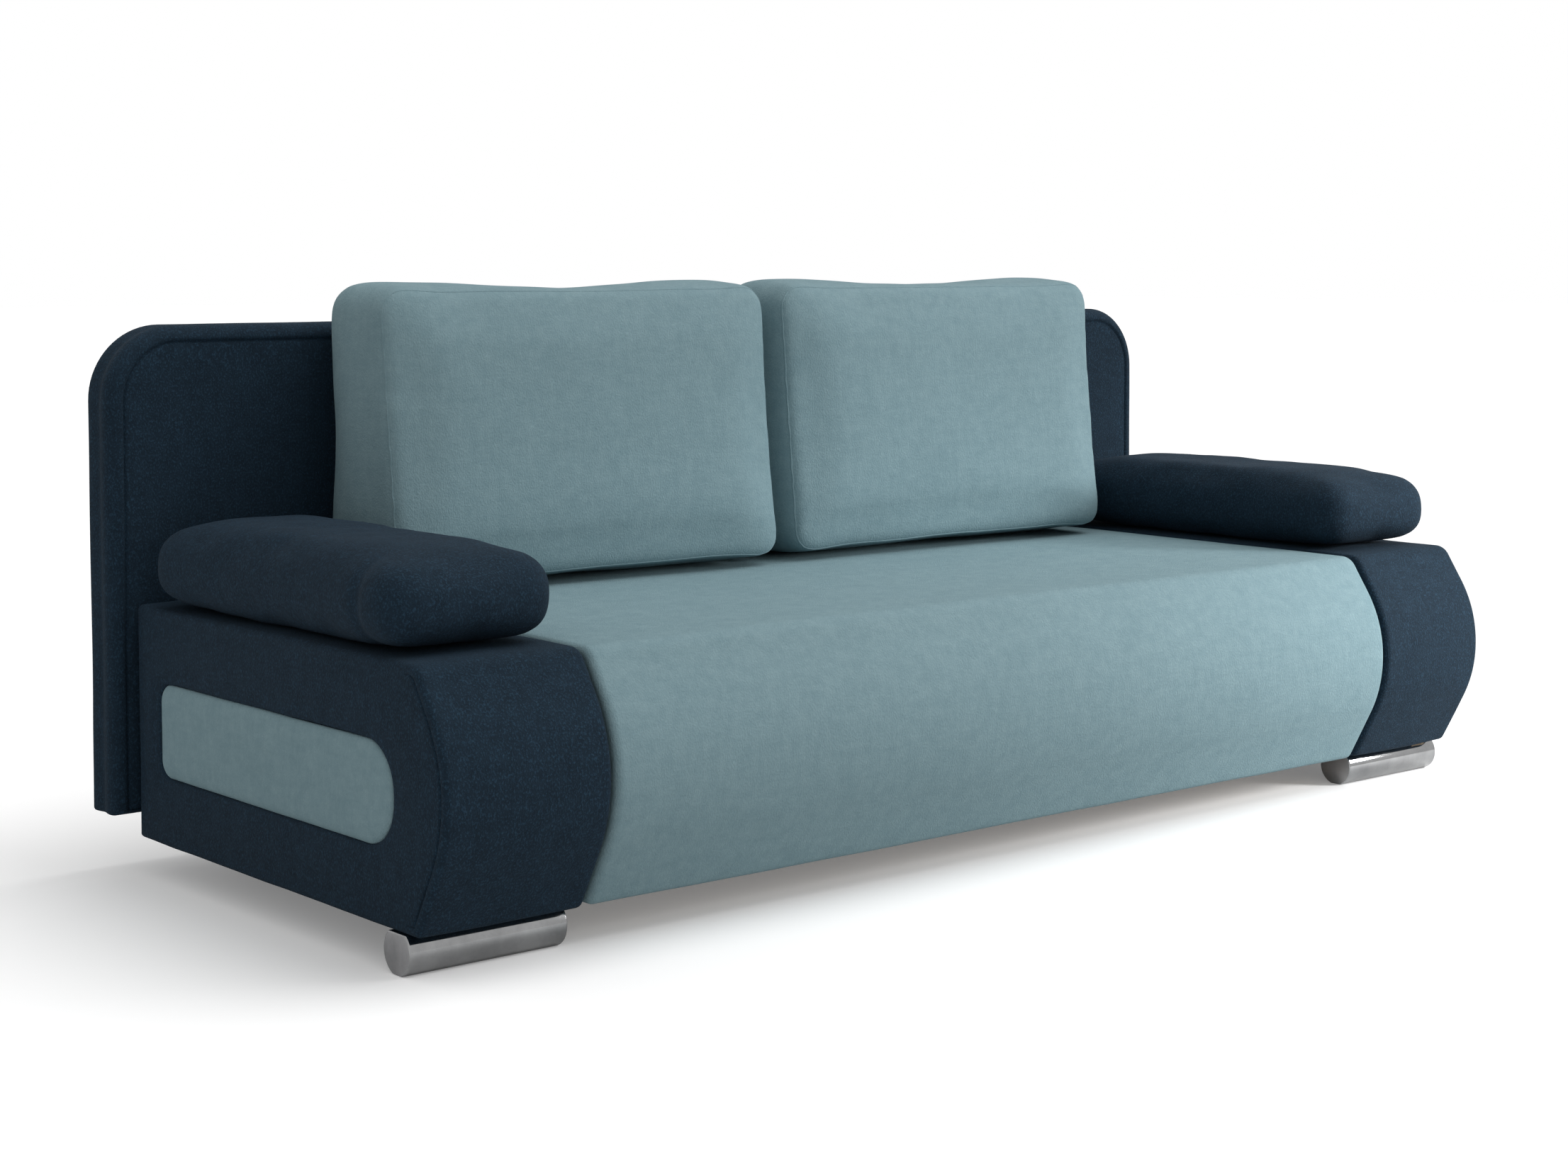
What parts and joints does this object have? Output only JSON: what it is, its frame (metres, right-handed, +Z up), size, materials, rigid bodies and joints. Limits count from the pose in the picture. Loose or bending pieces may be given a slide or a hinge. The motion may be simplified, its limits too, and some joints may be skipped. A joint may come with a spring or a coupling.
{
  "type": "futon sofa bed",
  "caption": "Low box sofa bed: bulged padded arms, lift-up seat over a bedding box, full-width backrest that folds flat behind the seat, loose back cushions and arm pillows.",
  "frame": {"origin": "on the floor under the middle of the sofa's outline, halfway between the front of the bulge and the rear of the backrest", "axes": "+X to the sitter's left along the sofa's width, +Y from the front to the back, +Z up"},
  "size_m": [2.064, 0.8599, 0.8165],
  "materials": {
    "navy_fabric": "short-pile velour with a fine light fleck",
    "teal_fabric": "soft velour, greyish teal",
    "chrome": "polished",
    "steel": "satin dark grey paint",
    "timber": "planed, unfinished",
    "black_plastic": "moulded",
    "black_cloth": "spun-bonded lining cloth"
  },
  "bodies": {
    "base": {"arm_cover_left": "navy_fabric", "arm_inset_pad_left": "teal_fabric", "arm_outer_board_left": "timber", "arm_inner_board_left": "timber", "arm_top_board_left": "timber", "arm_base_board_left": "timber", "arm_front_former_left": "timber", "front_foot_left": "chrome", "rear_foot_left": "black_plastic", "box_side_left": "timber", "mechanism_plate_left": "steel", "seat_pivot_pin_left": "steel", "arm_cover_right": "navy_fabric", "arm_inset_pad_right": "teal_fabric", "arm_outer_board_right": "timber", "arm_inner_board_right": "timber", "arm_top_board_right": "timber", "arm_base_board_right": "timber", "arm_front_former_right": "timber", "front_foot_right": "chrome", "rear_foot_right": "black_plastic", "box_side_right": "timber", "mechanism_plate_right": "steel", "seat_pivot_pin_right": "steel", "front_beam": "timber", "rear_beam": "timber", "box_front_board": "timber", "box_rear_board": "timber", "box_floor": "timber"},
    "swing_links": {"swing_link_left": "steel", "swing_link_right": "steel"},
    "backrest": {"back_cover": "navy_fabric", "back_rear_panel": "black_cloth", "back_top_rail": "timber", "back_bottom_rail": "timber", "back_post_left": "timber", "back_post_right": "timber", "back_end_former_left": "timber", "back_end_former_right": "timber", "back_bracket_left": "steel", "back_bracket_right": "steel", "leg_bracket_left": "steel", "leg_bracket_right": "steel"},
    "bed_legs": {"bed_leg_left": "steel", "bed_leg_right": "steel", "leg_cross_tube": "steel"},
    "seat": {"seat_pad": "teal_fabric", "front_apron": "teal_fabric", "seat_rail_front": "timber", "seat_rail_rear": "timber", "seat_rail_left": "timber", "seat_rail_right": "timber", "seat_spring_mat": "black_cloth", "seat_hinge_leaf_left": "steel", "seat_hinge_leaf_right": "steel"},
    "back_cushion_left": {"back_cushion_left": "teal_fabric"},
    "back_cushion_right": {"back_cushion_right": "teal_fabric"},
    "arm_pillow_left": {"arm_pillow_left": "navy_fabric"},
    "arm_pillow_right": {"arm_pillow_right": "navy_fabric"}
  },
  "joints": [
    {"name": "backrest_fold", "type": "hinge", "parent": "base", "child": "swing_links", "pos_m": [0, 0.25607, 0.20483], "axis": [1, 0, 0], "range_deg": [0, 79.28]},
    {"name": "backrest_tilt", "type": "hinge", "parent": "swing_links", "child": "backrest", "pos_m": [0, 0.406, 0.102], "axis": [1, 0, 0], "range_deg": [-169.48, 0]},
    {"name": "bed_leg_swing", "type": "hinge", "parent": "backrest", "child": "bed_legs", "pos_m": [0, 0.418, 0.694], "axis": [1, 0, 0], "range_deg": [0, 90.2]},
    {"name": "seat_lift", "type": "hinge", "parent": "base", "child": "seat", "pos_m": [0, 0.32, 0.34], "axis": [-1, 0, 0], "range_deg": [0, 38]},
    {"name": "back_cushion_left_lift", "type": "slide", "parent": "backrest", "child": "back_cushion_left", "axis": [0, 0, 1], "range_m": [0, 0.24]},
    {"name": "back_cushion_right_lift", "type": "slide", "parent": "backrest", "child": "back_cushion_right", "axis": [0, 0, 1], "range_m": [0, 0.24]},
    {"name": "arm_pillow_left_lift", "type": "slide", "parent": "base", "child": "arm_pillow_left", "axis": [0, 0, 1], "range_m": [0, 0.25]},
    {"name": "arm_pillow_right_lift", "type": "slide", "parent": "base", "child": "arm_pillow_right", "axis": [0, 0, 1], "range_m": [0, 0.25]}
  ],
  "couplings": [
    {"joint": "backrest_tilt", "follows": "backrest_fold", "ratio": -2.1353},
    {"joint": "bed_leg_swing", "follows": "backrest_fold", "ratio": 1.1353},
    {"joint": "back_cushion_left_lift", "follows": "seat_lift", "m_per_rad": 0.34},
    {"joint": "back_cushion_right_lift", "follows": "seat_lift", "m_per_rad": 0.34}
  ]
}
